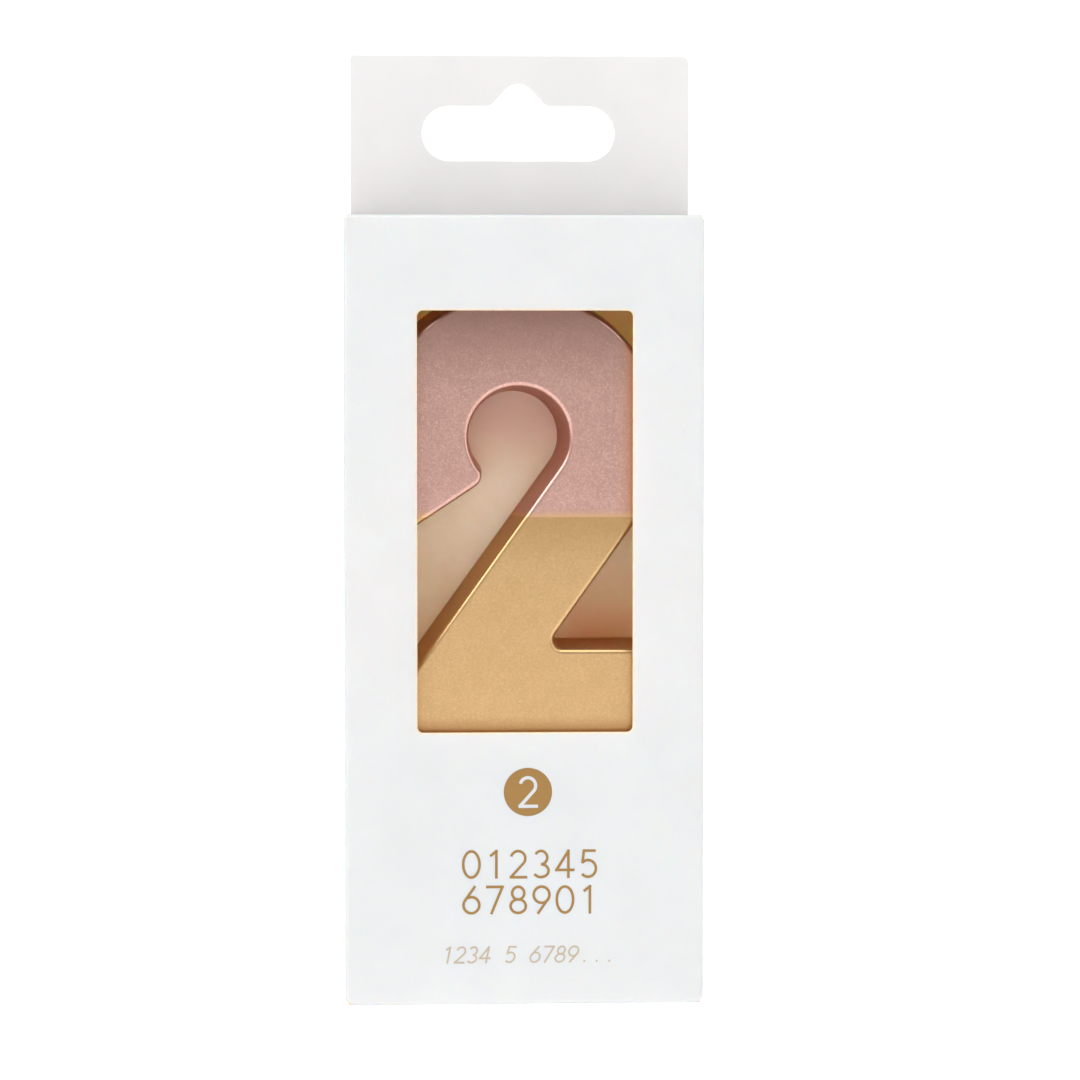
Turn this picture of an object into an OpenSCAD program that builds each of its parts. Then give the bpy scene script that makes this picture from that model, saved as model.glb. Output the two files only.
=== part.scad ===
// Number birthday candle in a hanging carton with a window.
// A two-tone numeral candle stands on two picks in a folded card carton that hangs by its tab.
// The numeral faces -Y, +Z is up, and the origin is the middle of the carton's base.

/* [Numeral] */
// Height of the numeral, from under its foot to the top of its bowl
num_h = 75.2; // [60:0.1:95]
// Thickness of the numeral, front to back
num_t = 12; // [9:0.1:20]
// Width of the numeral's stroke
stroke = 15.75; // [12:0.05:19]
// Radius of the counter, the round hollow inside the bowl
counter_r = 8.5; // [7:0.1:11]
// Angle of the diagonal above the horizontal
diag_a = 54.3; // [48:0.1:62]
// Height of the foot bar
foot_h = 15.45; // [12:0.05:20]
// Height of the foot's left end, where the diagonal runs out
heel_h = 3.54; // [2.5:0.02:8]
// Reach of the foot to the right of the bowl's centre
foot_right = 24.2; // [20:0.1:28]
// Angle of the cut at the end of the hook
hook_cut_a = 33.5; // [20:0.5:45]
// Distance of the hook's cut from the bowl's centre
hook_cut_drop = 2.83; // [2.2:0.01:6]
// Radius of the two tips of the hook
tip_r = 1.9; // [1:0.1:2.2]
// Radius of the foot's corners
foot_corner_r = 1.5; // [1:0.1:3]
// Radius in the notch where the diagonal meets the foot
notch_r = 1.6; // [1.2:0.1:3]
// How much wider the outline is at the back than at the front, on each side
draft = 0.95; // [0.4:0.05:1.5]
// Thickness of the coloured coat over the wax
coat_t = 0.3; // [0.15:0.05:0.5]
// Height above the foot where the gold coat ends and the rose coat begins
split_h = 37.6; // [20:0.1:55]

/* [Wick and picks] */
// Diameter of the wick
wick_d = 1.8; // [1.2:0.1:3]
// Length of the wick above the bowl
wick_out = 8.8; // [5:0.1:12]
// Length of the wick inside the wax
wick_in = 11; // [6:0.5:11.5]
// Diameter of a pick's shaft
pick_d = 3.6; // [2.4:0.1:5]
// Length of a pick below the foot
pick_len = 43.2; // [30:0.1:60]
// Distance between the two picks
pick_pitch = 24; // [18:0.5:30]
// Length of a pick's point
pick_point = 9; // [5:0.5:14]
// Diameter of a pick's flat tip
pick_tip_d = 1.2; // [0.8:0.1:2]
// Diameter of the peg that holds a pick in the foot
peg_d = 3; // [2:0.1:5]
// Length of that peg
peg_len = 9; // [5:0.5:12]
// Diameter of the collar under the foot
collar_d = 6.4; // [5.6:0.1:9]
// Thickness of that collar
collar_t = 1.2; // [0.8:0.1:2]

/* [Carton] */
// Thickness of the card
card_t = 0.5; // [0.3:0.05:0.7]
// Room between the numeral's widest part and the side panels
side_room = 3.4; // [1.5:0.1:6]
// Room between the numeral's faces and the front and back panels
face_room = 2; // [1.5:0.1:5]
// Height that the candle can rise inside the closed carton
lift_room = 3; // [1:0.1:8]
// How far the candle stands to the left of the carton's middle
candle_shift = 0.9; // [0:0.1:2]
// Radius of the front panel's corners
panel_corner_r = 1.2; // [0.5:0.1:3]
// Width of the window
window_w = 36; // [24:0.1:44]
// Height of the window
window_h = 70.4; // [50:0.1:80]
// Height of the window's lower edge above the base
window_z = 45.7; // [30:0.1:55]
// Radius of the window's corners
window_r = 1; // [0.5:0.1:4]
// Width of the glue flap
glue_w = 12; // [8:0.5:13]
// Slope of the glue flap's ends
glue_bevel = 4; // [2:0.5:6]

/* [Hang tab] */
// Width of the hang tab
tab_w = 57.5; // [44:0.1:59]
// Height of the hang tab above the carton
tab_h = 27.5; // [25:0.1:40]
// Radius of the hang tab's corners
tab_corner_r = 0.9; // [0.4:0.1:4]
// Width of the hang slot
slot_w = 32.9; // [26:0.1:36]
// Height of the hang slot's straight part
slot_h = 9.4; // [7:0.1:10]
// Height of the hang slot's lower edge above the carton
slot_up = 9.65; // [7:0.05:10.5]
// How far the hang slot lies to the left of the middle
slot_shift = 0.25; // [0:0.05:1]
// Height of the hump above the slot's straight part
hump_h = 3.75; // [2.5:0.05:4.5]
// Radius of the hump's top
hump_r = 3; // [2:0.1:4]
// Slope of the hump's flanks
hump_a = 47; // [40:1:60]
// Radius where the hump meets the slot
hump_foot_r = 1.2; // [0.6:0.1:2]

/* [Closures] */
// Length of a tuck lip
lip_len = 8; // [6:0.1:11]
// Radius of a tuck lip's free corners
lip_corner_r = 3.5; // [2:0.1:5]
// How much shorter a dust flap is than the carton is deep
flap_short = 5; // [3:0.1:8]
// Width of a dust flap's free edge
flap_tip_w = 2.5; // [2:0.1:2.8]
// Step in a dust flap's back edge that lets the lip pass
flap_step = 1.4; // [1:0.1:2.5]
// Share of the closure's turn by which a tuck lip folds in
lip_follow = 0.53; // [0.5:0.01:0.54]
// Share of the closure's turn that a dust flap makes
flap_follow = 0.55; // [0.4:0.01:0.56]
// Gap between the ends of a tuck lip and the glue flap or side panel
lip_gap = 0.5; // [0.3:0.1:1]
// Gap between a dust flap and the front panel
flap_gap = 0.1; // [0.05:0.05:0.3]

/* [Clearances] */
// Gap under the picks when the candle stands in the carton
seat_gap = 0.3; // [0.1:0.05:0.4]
// Radial clearance of the pegs and of the wick in the wax
fit_gap = 0.05; // [0.02:0.01:0.1]
// Least gap between a swinging lip and what it passes
swing_gap = 0.18; // [0.1:0.01:0.4]

/* [Hidden] */
$fn = 64;
eps = 0.01;

// The candle stands on its picks, and the carton is sized around it.
foot_z = card_t + seat_gap + pick_len;
bowl_r = counter_r + stroke;
bowl = [-candle_shift, foot_z + num_h - bowl_r];
split_z = foot_z + split_h;
foot_left = -(counter_r + (foot_z + heel_h - bowl[1]) * cos(diag_a)) / sin(diag_a);
mean_grow = draft / 2; // the walls are drawn straight, at the mean of the two outlines
half_reach = max(bowl_r, foot_left, foot_right) + draft;
box_w = 2 * (half_reach + candle_shift + side_room + card_t);
box_d = num_t + 2 * face_room + 2 * card_t;
box_h = foot_z + num_h + wick_out + lift_room + 2 * card_t;
in_x = box_w / 2 - card_t;
in_y = box_d / 2 - card_t;

// The lip's free edge swings out before it comes clear, so the closure stops short of the back.
lip_reach = (1 - lip_follow) * lip_len + card_t;
lip_y = in_y - swing_gap - lip_reach * lip_reach / (2 * (box_d - 2 * card_t));
lip_half_w = in_x - card_t - lip_gap;
flap_len = box_d - flap_short;

card_white = [0.94, 0.94, 0.93];
card_inside = [0.9, 0.86, 0.82];
wax_cream = [0.95, 0.91, 0.83];
rose = [0.79, 0.64, 0.6];
gold = [0.82, 0.66, 0.43];
wick_white = [0.93, 0.91, 0.86];
pick_clear = [0.92, 0.92, 0.9];

// A point at an angle on a circle
function on_circle(c, r, a) = [c[0] + r * cos(a), c[1] + r * sin(a)];

// The points of an arc in n steps, both ends included
function arc(c, r, a0, a1, n) = [for (i = [0:n]) on_circle(c, r, a0 + (a1 - a0) * i / n)];

// The centre of a hook tip's rounding, where the cut meets a circle about the bowl's centre
function tip_centre(r) =
    let (across = hook_cut_drop - tip_r, along = sqrt(r * r - across * across))
    on_circle(on_circle(bowl, across, hook_cut_a - 90), along, hook_cut_a + 180);

// The direction from one point to another, from 0 to 360
function heading(p, q) = let (a = atan2(q[1] - p[1], q[0] - p[0])) a < 0 ? a + 360 : a;

// The x of a line at the diagonal's slope, at height z, that lies off beside the bowl's centre
function diag_x(off, z) = bowl[0] + (off + (z - bowl[1]) * cos(diag_a)) / sin(diag_a);

// The outline of the numeral 2 as [x, z] points, anticlockwise. It is moved outwards by grow
// everywhere but at its flat base, which lies at height base.
function numeral(grow, base) =
    let (
        n_a = diag_a - 90,
        tip_o = tip_centre(bowl_r - tip_r),
        tip_i = tip_centre(counter_r + tip_r),
        foot_r = foot_corner_r + grow,
        left = bowl[0] - foot_left + foot_corner_r,
        right = bowl[0] + foot_right - foot_corner_r,
        low = base + foot_r,
        top = foot_z + foot_h - foot_corner_r,
        heel_z = bowl[1] + ((left - bowl[0]) * sin(diag_a) - counter_r - foot_corner_r) / cos(diag_a),
        in_r = notch_r - grow,
        in_z = foot_z + foot_h + notch_r,
        notch = [diag_x(bowl_r + notch_r, in_z), in_z]
    )
    concat(
        arc(bowl, bowl_r + grow, n_a, heading(bowl, tip_o), 44),
        arc(tip_o, tip_r + grow, heading(bowl, tip_o) + 8, hook_cut_a + 270, 6),
        arc(tip_i, tip_r + grow, hook_cut_a + 270, heading(tip_i, bowl) + 352, 8),
        arc(bowl, counter_r - grow, heading(bowl, tip_i), n_a, 36),
        arc([left, heel_z], foot_r, diag_a + 90, 180, 4),
        arc([left, low], foot_r, 180, 270, 5),
        arc([right, low], foot_r, 270, 360, 5),
        arc([right, top], foot_r, 0, 90, 5),
        arc(notch, in_r, 270, diag_a + 90, 8)
    );

// The numeral as a solid, moved outwards by grow everywhere but at its base and its two faces,
// which are moved inwards by inset
module numeral_solid(grow, inset) {
    translate([0, num_t / 2 - inset, 0]) rotate([90, 0, 0]) linear_extrude(num_t - 2 * inset)
        polygon(numeral(grow, foot_z + inset));
}

// A round bar along Z
module bar(d, z0, z1) {
    translate([0, 0, z0]) cylinder(d = d, h = z1 - z0);
}

// What is placed at each pick, or at one of them
module at_picks(sides = [-1, 1]) {
    for (s = sides) translate([bowl[0] + s * pick_pitch / 2, 0, 0]) children();
}

// The pegs' sockets and the wick's hole
module candle_holes() {
    at_picks() bar(peg_d + 2 * fit_gap, foot_z - eps, foot_z + peg_len + fit_gap);
    translate([bowl[0], 0, 0]) bar(wick_d + 2 * fit_gap, wick_z0 - fit_gap, foot_z + num_h + draft + 1);
}
wick_z0 = foot_z + num_h - wick_in;

module wax_core() {
    color(wax_cream) difference() {
        numeral_solid(mean_grow - coat_t, coat_t);
        candle_holes();
    }
}

// The coloured coat between two heights
module coat(z0, z1) {
    difference() {
        intersection() {
            numeral_solid(mean_grow, 0);
            translate([-box_w, -box_d, z0]) cube([2 * box_w, 2 * box_d, z1 - z0]);
        }
        numeral_solid(mean_grow - coat_t, coat_t);
        candle_holes();
    }
}

module rose_coat() {
    color(rose) coat(split_z, box_h);
}

module gold_coat() {
    color(gold) coat(0, split_z);
}

module wick() {
    color(wick_white) translate([bowl[0], 0, 0]) bar(wick_d, wick_z0, foot_z + num_h + wick_out);
}

// A pick: a peg for the foot, a collar, a shaft and a blunt point
module pick() {
    tip_z = card_t + seat_gap;
    rotate_extrude() polygon([[0, tip_z], [pick_tip_d / 2, tip_z], [pick_d / 2, tip_z + pick_point],
        [pick_d / 2, foot_z - collar_t], [collar_d / 2, foot_z - collar_t], [collar_d / 2, foot_z],
        [peg_d / 2, foot_z], [peg_d / 2, foot_z + peg_len], [0, foot_z + peg_len]]);
}

module pick_left() {
    color(pick_clear) at_picks([-1]) pick();
}

module pick_right() {
    color(pick_clear) at_picks([1]) pick();
}

// A rectangle with round corners, from its lower left corner
module rounded(w, h, r) {
    translate([r, 0]) square([w - 2 * r, h]);
    translate([0, r]) square([w, h - 2 * r]);
    for (x = [r, w - r], y = [r, h - r]) translate([x, y]) circle(r);
}

// A flat sheet of card that faces -Y, drawn in X and Z, with its front face at y
module sheet_xz(y) {
    translate([0, y + card_t, 0]) rotate([90, 0, 0]) linear_extrude(card_t) children();
}

module front_panel() {
    color(card_white) sheet_xz(-box_d / 2) difference() {
        translate([-box_w / 2, 0]) rounded(box_w, box_h, panel_corner_r);
        translate([-window_w / 2, window_z]) rounded(window_w, window_h, window_r);
    }
}

// The hang slot: a long hole with round ends, and a hump that finds the middle of a peg
module hang_slot() {
    r = slot_h / 2;
    hub = [0, slot_h + hump_h - hump_r];
    edge = on_circle(hub, hump_r, 90 - hump_a);
    foot_x = edge[0] + (edge[1] - slot_h) / tan(hump_a);
    fillet = hump_foot_r * tan(hump_a / 2);
    corner = [foot_x + fillet, slot_h + hump_foot_r];
    flank = arc(corner, hump_foot_r, 270, 270 - hump_a, 6);
    crown = arc(hub, hump_r, 90 - hump_a, 90 + hump_a, 16);
    translate([0, r]) square([slot_w - slot_h, slot_h], center = true);
    for (s = [-1, 1]) translate([s * (slot_w / 2 - r), r]) circle(r);
    polygon(concat([[corner[0], r]], flank, crown,
        [for (i = [len(flank) - 1:-1:0]) [-flank[i][0], flank[i][1]]], [[-corner[0], r]]));
}

module back_panel() {
    color(card_white) sheet_xz(in_y) difference() {
        union() {
            translate([-box_w / 2, 0]) square([box_w, box_h]);
            translate([-tab_w / 2, box_h - 2 * tab_corner_r])
                rounded(tab_w, tab_h + 2 * tab_corner_r, tab_corner_r);
        }
        translate([-slot_shift, box_h + slot_up]) hang_slot();
    }
}

// A side panel, between the front and back panels and short of the closures
module side_panel() {
    translate([in_x, -in_y, card_t]) cube([card_t, 2 * in_y, box_h - 2 * card_t]);
}

module left_side_panel() {
    color(card_white) mirror([1, 0, 0]) side_panel();
}

module right_side_panel() {
    color(card_white) side_panel();
}

// The flap that is glued inside the right side panel and turns into the back panel
module glue_flap() {
    z0 = card_t + glue_bevel;
    z1 = box_h - card_t - glue_bevel;
    color(card_inside) translate([in_x - card_t, 0, 0]) rotate([90, 0, 90]) linear_extrude(card_t)
        polygon([[in_y, z0], [in_y, z1], [in_y - glue_w, z1 - glue_bevel], [in_y - glue_w, z0 + glue_bevel]]);
}

// The closure panel of the top, hinged on the front panel
module closure_panel() {
    translate([-in_x, -in_y, box_h - card_t]) cube([2 * in_x, in_y + lip_y, card_t]);
}

// The lip of the top that tucks in front of the back panel
module tuck_lip() {
    sheet_xz(lip_y - card_t) intersection() {
        translate([-lip_half_w, box_h - card_t - lip_len])
            rounded(2 * lip_half_w, lip_len + 2 * lip_corner_r, lip_corner_r);
        translate([-box_w, box_h - card_t - lip_len]) square([2 * box_w, lip_len]);
    }
}

// The right dust flap of the top. Its front edge slopes back so that the closure clears it, and
// its back edge stays in front of the lip.
module dust_flap() {
    x0 = box_w / 2 - flap_len;
    y0 = -in_y + flap_gap;
    y_tip = y0 + (flap_follow + 0.04) * flap_len;
    y_lip = lip_y - card_t - swing_gap;
    translate([0, 0, box_h - 2 * card_t]) linear_extrude(card_t)
        polygon([[in_x, y0], [in_x, y_lip], [lip_half_w, y_lip - flap_step], [x0, y_tip + flap_tip_w], [x0, y_tip]]);
}

// The same piece at the foot of the carton
module at_bottom() {
    translate([0, 0, box_h]) mirror([0, 0, 1]) children();
}

module top_closure_panel() {
    color(card_white) closure_panel();
}

module top_tuck_lip() {
    color(card_white) tuck_lip();
}

module top_dust_flap_right() {
    color(card_inside) dust_flap();
}

module top_dust_flap_left() {
    color(card_inside) mirror([1, 0, 0]) dust_flap();
}

module bottom_closure_panel() {
    color(card_white) at_bottom() closure_panel();
}

module bottom_tuck_lip() {
    color(card_white) at_bottom() tuck_lip();
}

module bottom_dust_flap_right() {
    color(card_inside) at_bottom() dust_flap();
}

module bottom_dust_flap_left() {
    color(card_inside) at_bottom() mirror([1, 0, 0]) dust_flap();
}

front_panel();
back_panel();
left_side_panel();
right_side_panel();
glue_flap();
top_closure_panel();
top_tuck_lip();
top_dust_flap_left();
top_dust_flap_right();
bottom_closure_panel();
bottom_tuck_lip();
bottom_dust_flap_left();
bottom_dust_flap_right();
wax_core();
rose_coat();
gold_coat();
wick();
pick_left();
pick_right();
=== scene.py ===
import math

import bmesh
import bpy
import numpy as np
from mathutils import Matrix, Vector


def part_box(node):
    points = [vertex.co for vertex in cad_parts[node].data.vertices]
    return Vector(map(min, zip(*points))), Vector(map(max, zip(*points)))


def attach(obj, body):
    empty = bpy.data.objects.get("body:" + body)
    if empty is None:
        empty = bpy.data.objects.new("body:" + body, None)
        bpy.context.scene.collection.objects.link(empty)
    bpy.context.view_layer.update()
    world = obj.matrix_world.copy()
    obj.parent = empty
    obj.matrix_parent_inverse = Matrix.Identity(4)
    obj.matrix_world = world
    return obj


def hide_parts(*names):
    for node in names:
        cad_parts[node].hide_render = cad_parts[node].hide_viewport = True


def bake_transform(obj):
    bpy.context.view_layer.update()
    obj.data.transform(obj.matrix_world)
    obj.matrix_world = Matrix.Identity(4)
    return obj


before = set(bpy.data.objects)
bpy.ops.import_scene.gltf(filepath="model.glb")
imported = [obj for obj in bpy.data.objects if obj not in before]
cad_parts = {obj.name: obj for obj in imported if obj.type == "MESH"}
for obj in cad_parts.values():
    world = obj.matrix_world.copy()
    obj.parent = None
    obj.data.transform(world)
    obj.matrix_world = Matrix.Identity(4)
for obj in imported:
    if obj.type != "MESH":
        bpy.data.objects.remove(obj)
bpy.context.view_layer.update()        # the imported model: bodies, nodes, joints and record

# ---------------------------------------------------------------------------------------------
# The studio: a long lens a little to the left and above, large soft lights on both sides and
# above, and a pale matt floor that runs up into a white backdrop.
# ---------------------------------------------------------------------------------------------
MM = 0.001
scene = bpy.context.scene
scene.view_settings.view_transform = "Standard"

aim = np.array([3.01, 0.0, 77.5]) * MM      # the point that the camera faces
distance = 650.95 * MM
azimuth, elevation = math.radians(-3.14), math.radians(2.64)
back_dir = np.array([math.sin(azimuth) * math.cos(elevation),
                     -math.cos(azimuth) * math.cos(elevation),
                     math.sin(elevation)])
lens = bpy.data.cameras.new("camera")
lens.lens = 128.45
lens.sensor_width = 36.0
lens.clip_start = 0.01
camera = bpy.data.objects.new("camera", lens)
camera.location = aim + back_dir * distance
camera.rotation_euler = (math.pi / 2 - elevation, 0.0, azimuth)
scene.collection.objects.link(camera)
scene.camera = camera

world = bpy.data.worlds.new("studio")
world.use_nodes = True
world.node_tree.nodes["Background"].inputs["Color"].default_value = (1.0, 0.99, 0.975, 1.0)
world.node_tree.nodes["Background"].inputs["Strength"].default_value = 0.315
scene.world = world


def soft_light(name, place, size, power):
    """A square area light at place that faces the middle of the carton."""
    light = bpy.data.lights.new(name, "AREA")
    light.shape = "SQUARE"
    light.size = size
    light.energy = power
    lamp = bpy.data.objects.new(name, light)
    lamp.location = place
    aim_at = np.array([0.0, 0.0, 0.08]) - np.array(place)
    pitch = math.atan2(math.hypot(aim_at[0], aim_at[1]), -aim_at[2])
    lamp.rotation_euler = (pitch, 0.0, math.atan2(aim_at[1], aim_at[0]) - math.pi / 2)
    scene.collection.objects.link(lamp)


soft_light("left_light", (-0.75, -1.35, 1.15), 0.7, 3.9)
soft_light("right_light", (0.8, -1.35, 0.95), 0.7, 3.5)
soft_light("top_light", (0.05, -0.5, 1.45), 1.0, 10.0)
soft_light("left_edge_light", (-1.15, -0.5, 0.95), 0.9, 10.6)
soft_light("right_edge_light", (1.25, -0.4, 0.35), 0.9, 4.0)


def principled(name, colour, roughness, metallic=0.0):
    """A new material with its Principled shader's plain values set: (material, tree, shader)."""
    material = bpy.data.materials.new(name)
    material.use_nodes = True
    tree = material.node_tree
    shader = tree.nodes["Principled BSDF"]
    shader.inputs["Base Color"].default_value = (*colour, 1.0)
    shader.inputs["Roughness"].default_value = roughness
    shader.inputs["Metallic"].default_value = metallic
    material.diffuse_color = (*colour, 1.0)
    return material, tree, shader


def mesh_object(name, points, faces, materials, face_slots=None, smooth_below=35.0):
    """A mesh from an (n, 3) array and a list of faces, smooth but for edges sharper than an angle."""
    mesh = bpy.data.meshes.new(name)
    mesh.from_pydata(np.asarray(points, float).tolist(), [], [list(f) for f in faces])
    for material in materials:
        mesh.materials.append(material)
    if face_slots is not None:
        mesh.polygons.foreach_set("material_index", np.asarray(face_slots, np.int32))
    mesh.polygons.foreach_set("use_smooth", np.ones(len(mesh.polygons), bool))
    mesh.set_sharp_from_angle(angle=math.radians(smooth_below))
    mesh.validate()
    made = bpy.data.objects.new(name, mesh)
    scene.collection.objects.link(made)
    return made


floor_mat, _, floor_shader = principled("pale_floor", (0.93, 0.93, 0.93), 0.9)
floor_shader.inputs["Emission Color"].default_value = (1.0, 1.0, 1.0, 1.0)
floor_shader.inputs["Emission Strength"].default_value = 0.4
sweep_r, sweep_half, sweep_front, sweep_back, sweep_top = 0.5, 3.0, -1.6, 1.6, 2.6
turn = np.linspace(0.0, math.pi / 2, 13)
sweep_y = np.concatenate([[sweep_front], sweep_back + sweep_r * np.sin(turn), [sweep_back + sweep_r]])
sweep_z = np.concatenate([[0.0], sweep_r * (1 - np.cos(turn)), [sweep_top]])
sweep = np.array([[[x, y, z] for x in (-sweep_half, sweep_half)] for y, z in zip(sweep_y, sweep_z)])
sweep_faces = [(i, i + 1, i + 3, i + 2) for i in range(0, 2 * len(sweep_y) - 2, 2)]
mesh_object("floor_sweep", sweep.reshape(-1, 3), sweep_faces, [floor_mat])


# ---------------------------------------------------------------------------------------------
# Carton board: white coated board about half a millimetre thick, with a plain warmer reverse and
# a cut edge that shows its grey-cream core. It is printed, cut and creased flat, then folded.
# ---------------------------------------------------------------------------------------------
def effect_group(title, inputs, outputs):
    """A new shader node group with number inputs {name: value} and number outputs: the group, its
    input node and its output node."""
    group = bpy.data.node_groups.new(title, "ShaderNodeTree")
    for name, value in inputs.items():
        socket = group.interface.new_socket(name, in_out="INPUT", socket_type="NodeSocketFloat")
        socket.default_value = value
    for name in outputs:
        group.interface.new_socket(name, in_out="OUTPUT", socket_type="NodeSocketFloat")
    return group, group.nodes.new("NodeGroupInput"), group.nodes.new("NodeGroupOutput")


def noise(tree, vector, scale, detail, rough):
    """A noise texture of the given scale per metre on a vector socket; a scale may be a socket."""
    node = tree.nodes.new("ShaderNodeTexNoise")
    node.inputs["Detail"].default_value = detail
    node.inputs["Roughness"].default_value = rough
    tree.links.new(vector, node.inputs["Vector"])
    if isinstance(scale, float):
        node.inputs["Scale"].default_value = scale
    else:
        tree.links.new(scale, node.inputs["Scale"])
    return node.outputs["Fac"]


def arithmetic(tree, operation, a, b):
    """A Math node on two values or sockets, and its output socket."""
    node = tree.nodes.new("ShaderNodeMath")
    node.operation = operation
    for socket, value in zip(node.inputs, (a, b)):
        if isinstance(value, (int, float)):
            socket.default_value = value
        else:
            tree.links.new(value, socket)
    return node.outputs["Value"]


def spread(tree, value, low, high, to_low=0.0, to_high=1.0):
    """A smooth Map Range from low..high to to_low..to_high on a value socket."""
    node = tree.nodes.new("ShaderNodeMapRange")
    node.interpolation_type = "SMOOTHSTEP"
    tree.links.new(value, node.inputs["Value"])
    ends = {"From Min": low, "From Max": high, "To Min": to_low, "To Max": to_high}
    for name, number in ends.items():
        node.inputs[name].default_value = number
    return node.outputs["Result"]


def mixed(tree, share, a, b):
    """A colour mix of a and b, each a colour or a socket, by a share socket."""
    node = tree.nodes.new("ShaderNodeMix")
    node.data_type = "RGBA"
    tree.links.new(share, node.inputs["Factor"])
    for socket, value in ((node.inputs[6], a), (node.inputs[7], b)):
        if isinstance(value, tuple):
            socket.default_value = (*value, 1.0)
        else:
            tree.links.new(value, socket)
    return node.outputs[2]


def coords_of(tree):
    """The Object coordinates of the piece that a material or group is on."""
    return tree.nodes.new("ShaderNodeTexCoord").outputs["Object"]


# Paper fibres: a cloudy tone across the sheet, and the height of fine matted fibres.
fibre_group, g_in, g_out = effect_group(
    "paper_fibres", {"Cloud Scale": 90.0, "Fibre Scale": 2600.0}, ("Tone", "Height"))
g_coords = coords_of(fibre_group)
clouds = noise(fibre_group, g_coords, g_in.outputs["Cloud Scale"], 4.0, 0.55)
matted = noise(fibre_group, g_coords, g_in.outputs["Fibre Scale"], 5.0, 0.65)
stretch = fibre_group.nodes.new("ShaderNodeMapping")
stretch.inputs["Scale"].default_value = (1.0, 1.0, 0.16)      # fibres lie along the machine's run
fibre_group.links.new(g_coords, stretch.inputs["Vector"])
drawn = noise(fibre_group, stretch.outputs["Vector"], g_in.outputs["Fibre Scale"], 3.0, 0.6)
fibre_group.links.new(spread(fibre_group, clouds, 0.3, 0.7), g_out.inputs["Tone"])
fibre_group.links.new(arithmetic(fibre_group, "ADD", matted, drawn), g_out.inputs["Height"])


soak_reach = (0.0024, 0.0009, 0.0004)      # how far red, green and blue light spread in board


def card_material(name, light, shade, roughness, relief, cloud_scale, fibre_scale, specular, soak):
    """Board whose colour drifts between two tones, with fibres as a fine bump of relief mm. A
    share of the light, soak, spreads inside it and comes out warmer."""
    material, tree, shader = principled(name, light, roughness)
    shader.inputs["Subsurface Weight"].default_value = soak
    shader.inputs["Subsurface Scale"].default_value = 1.0
    shader.inputs["Subsurface Radius"].default_value = soak_reach
    shader.inputs["Specular IOR Level"].default_value = specular
    fibres = tree.nodes.new("ShaderNodeGroup")
    fibres.node_tree = fibre_group
    fibres.inputs["Cloud Scale"].default_value = cloud_scale
    fibres.inputs["Fibre Scale"].default_value = fibre_scale
    tree.links.new(mixed(tree, fibres.outputs["Tone"], light, shade), shader.inputs["Base Color"])
    bump = tree.nodes.new("ShaderNodeBump")
    bump.inputs["Strength"].default_value = 0.6
    bump.inputs["Distance"].default_value = relief * MM
    tree.links.new(fibres.outputs["Height"], bump.inputs["Height"])
    tree.links.new(bump.outputs["Normal"], shader.inputs["Normal"])
    return material


card_outside = card_material("card_outside", (0.66, 0.663, 0.668), (0.64, 0.645, 0.65),
                             0.5, 0.012, 95.0, 2600.0, 0.35, 0.12)
card_front = card_material("card_front", (0.70, 0.668, 0.672), (0.678, 0.648, 0.652),
                           0.5, 0.012, 95.0, 2600.0, 0.35, 0.45)
card_inside = card_material("card_inside", (0.93, 0.85, 0.78), (0.89, 0.80, 0.72),
                            0.8, 0.03, 160.0, 1900.0, 0.2, 0.55)
card_core = card_material("card_core", (0.84, 0.70, 0.55), (0.78, 0.63, 0.48),
                          0.85, 0.03, 700.0, 5200.0, 0.15, 0.3)


def sheet_of_card(name, outer, inner, ring=False, outside=card_outside, inside=card_inside):
    """A closed sheet between two grids of points. outer and inner are (rows, columns, 3) arrays of
    the two faces; a ring joins the last column to the first. The edges are strips between them,
    and show the core."""
    rows, cols = outer.shape[:2]
    points = np.concatenate([outer.reshape(-1, 3), inner.reshape(-1, 3)])
    last = cols if ring else cols - 1
    i, j = np.meshgrid(np.arange(rows - 1), np.arange(last), indexing="ij")
    i, j = i.ravel(), j.ravel()
    k = (j + 1) % cols
    a, b, c, d = i * cols + j, i * cols + k, (i + 1) * cols + k, (i + 1) * cols + j
    half = rows * cols
    front = np.stack([a, b, c, d], 1)
    back = np.stack([d, c, b, a], 1) + half
    j = np.arange(last)
    k = (j + 1) % cols
    top = (rows - 1) * cols
    edges = [np.stack([k, j, j + half, k + half], 1),
             np.stack([top + j, top + k, top + k + half, top + j + half], 1)]
    if not ring:
        r = np.arange(rows - 1) * cols
        edges.append(np.stack([r, r + cols, r + cols + half, r + half], 1))
        r = r + cols - 1
        edges.append(np.stack([r + cols, r, r + half, r + cols + half], 1))
    edges = np.concatenate(edges)
    faces = np.concatenate([front, back, edges])
    slots = np.repeat([0, 1, 2], [len(front), len(back), len(edges)])
    return mesh_object(name, points, faces, [outside, inside, card_core], slots, 40.0)


# ---------------------------------------------------------------------------------------------
# Front panel: one face of the folded blank, with the window cut out of it. Its four edges are
# creased and roll over towards the sides and the closures.
# ---------------------------------------------------------------------------------------------
front_low, front_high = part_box("front_panel")
back_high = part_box("back_panel")[1]
card_t = front_high.y - front_low.y
half_w = front_high.x
box_h = front_high.z
half_d = back_high.y
fold_r = 0.6 * MM
inner_fold_r = fold_r - card_t
window_w, window_h, window_z, window_r = 36.0 * MM, 70.4 * MM, 45.7 * MM, 1.0 * MM
window_shift = 0.08 * MM
front_corners = np.array([2.0, 1.4, 1.3, 0.9]) * MM      # anticlockwise from the lower left one
pressed = 0.3 * MM           # the die presses the window's edge down over this width
print_room = 0.03 * MM       # the face lies this far back, so that the foil stays inside the box
front_y = front_low.y + print_room


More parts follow.
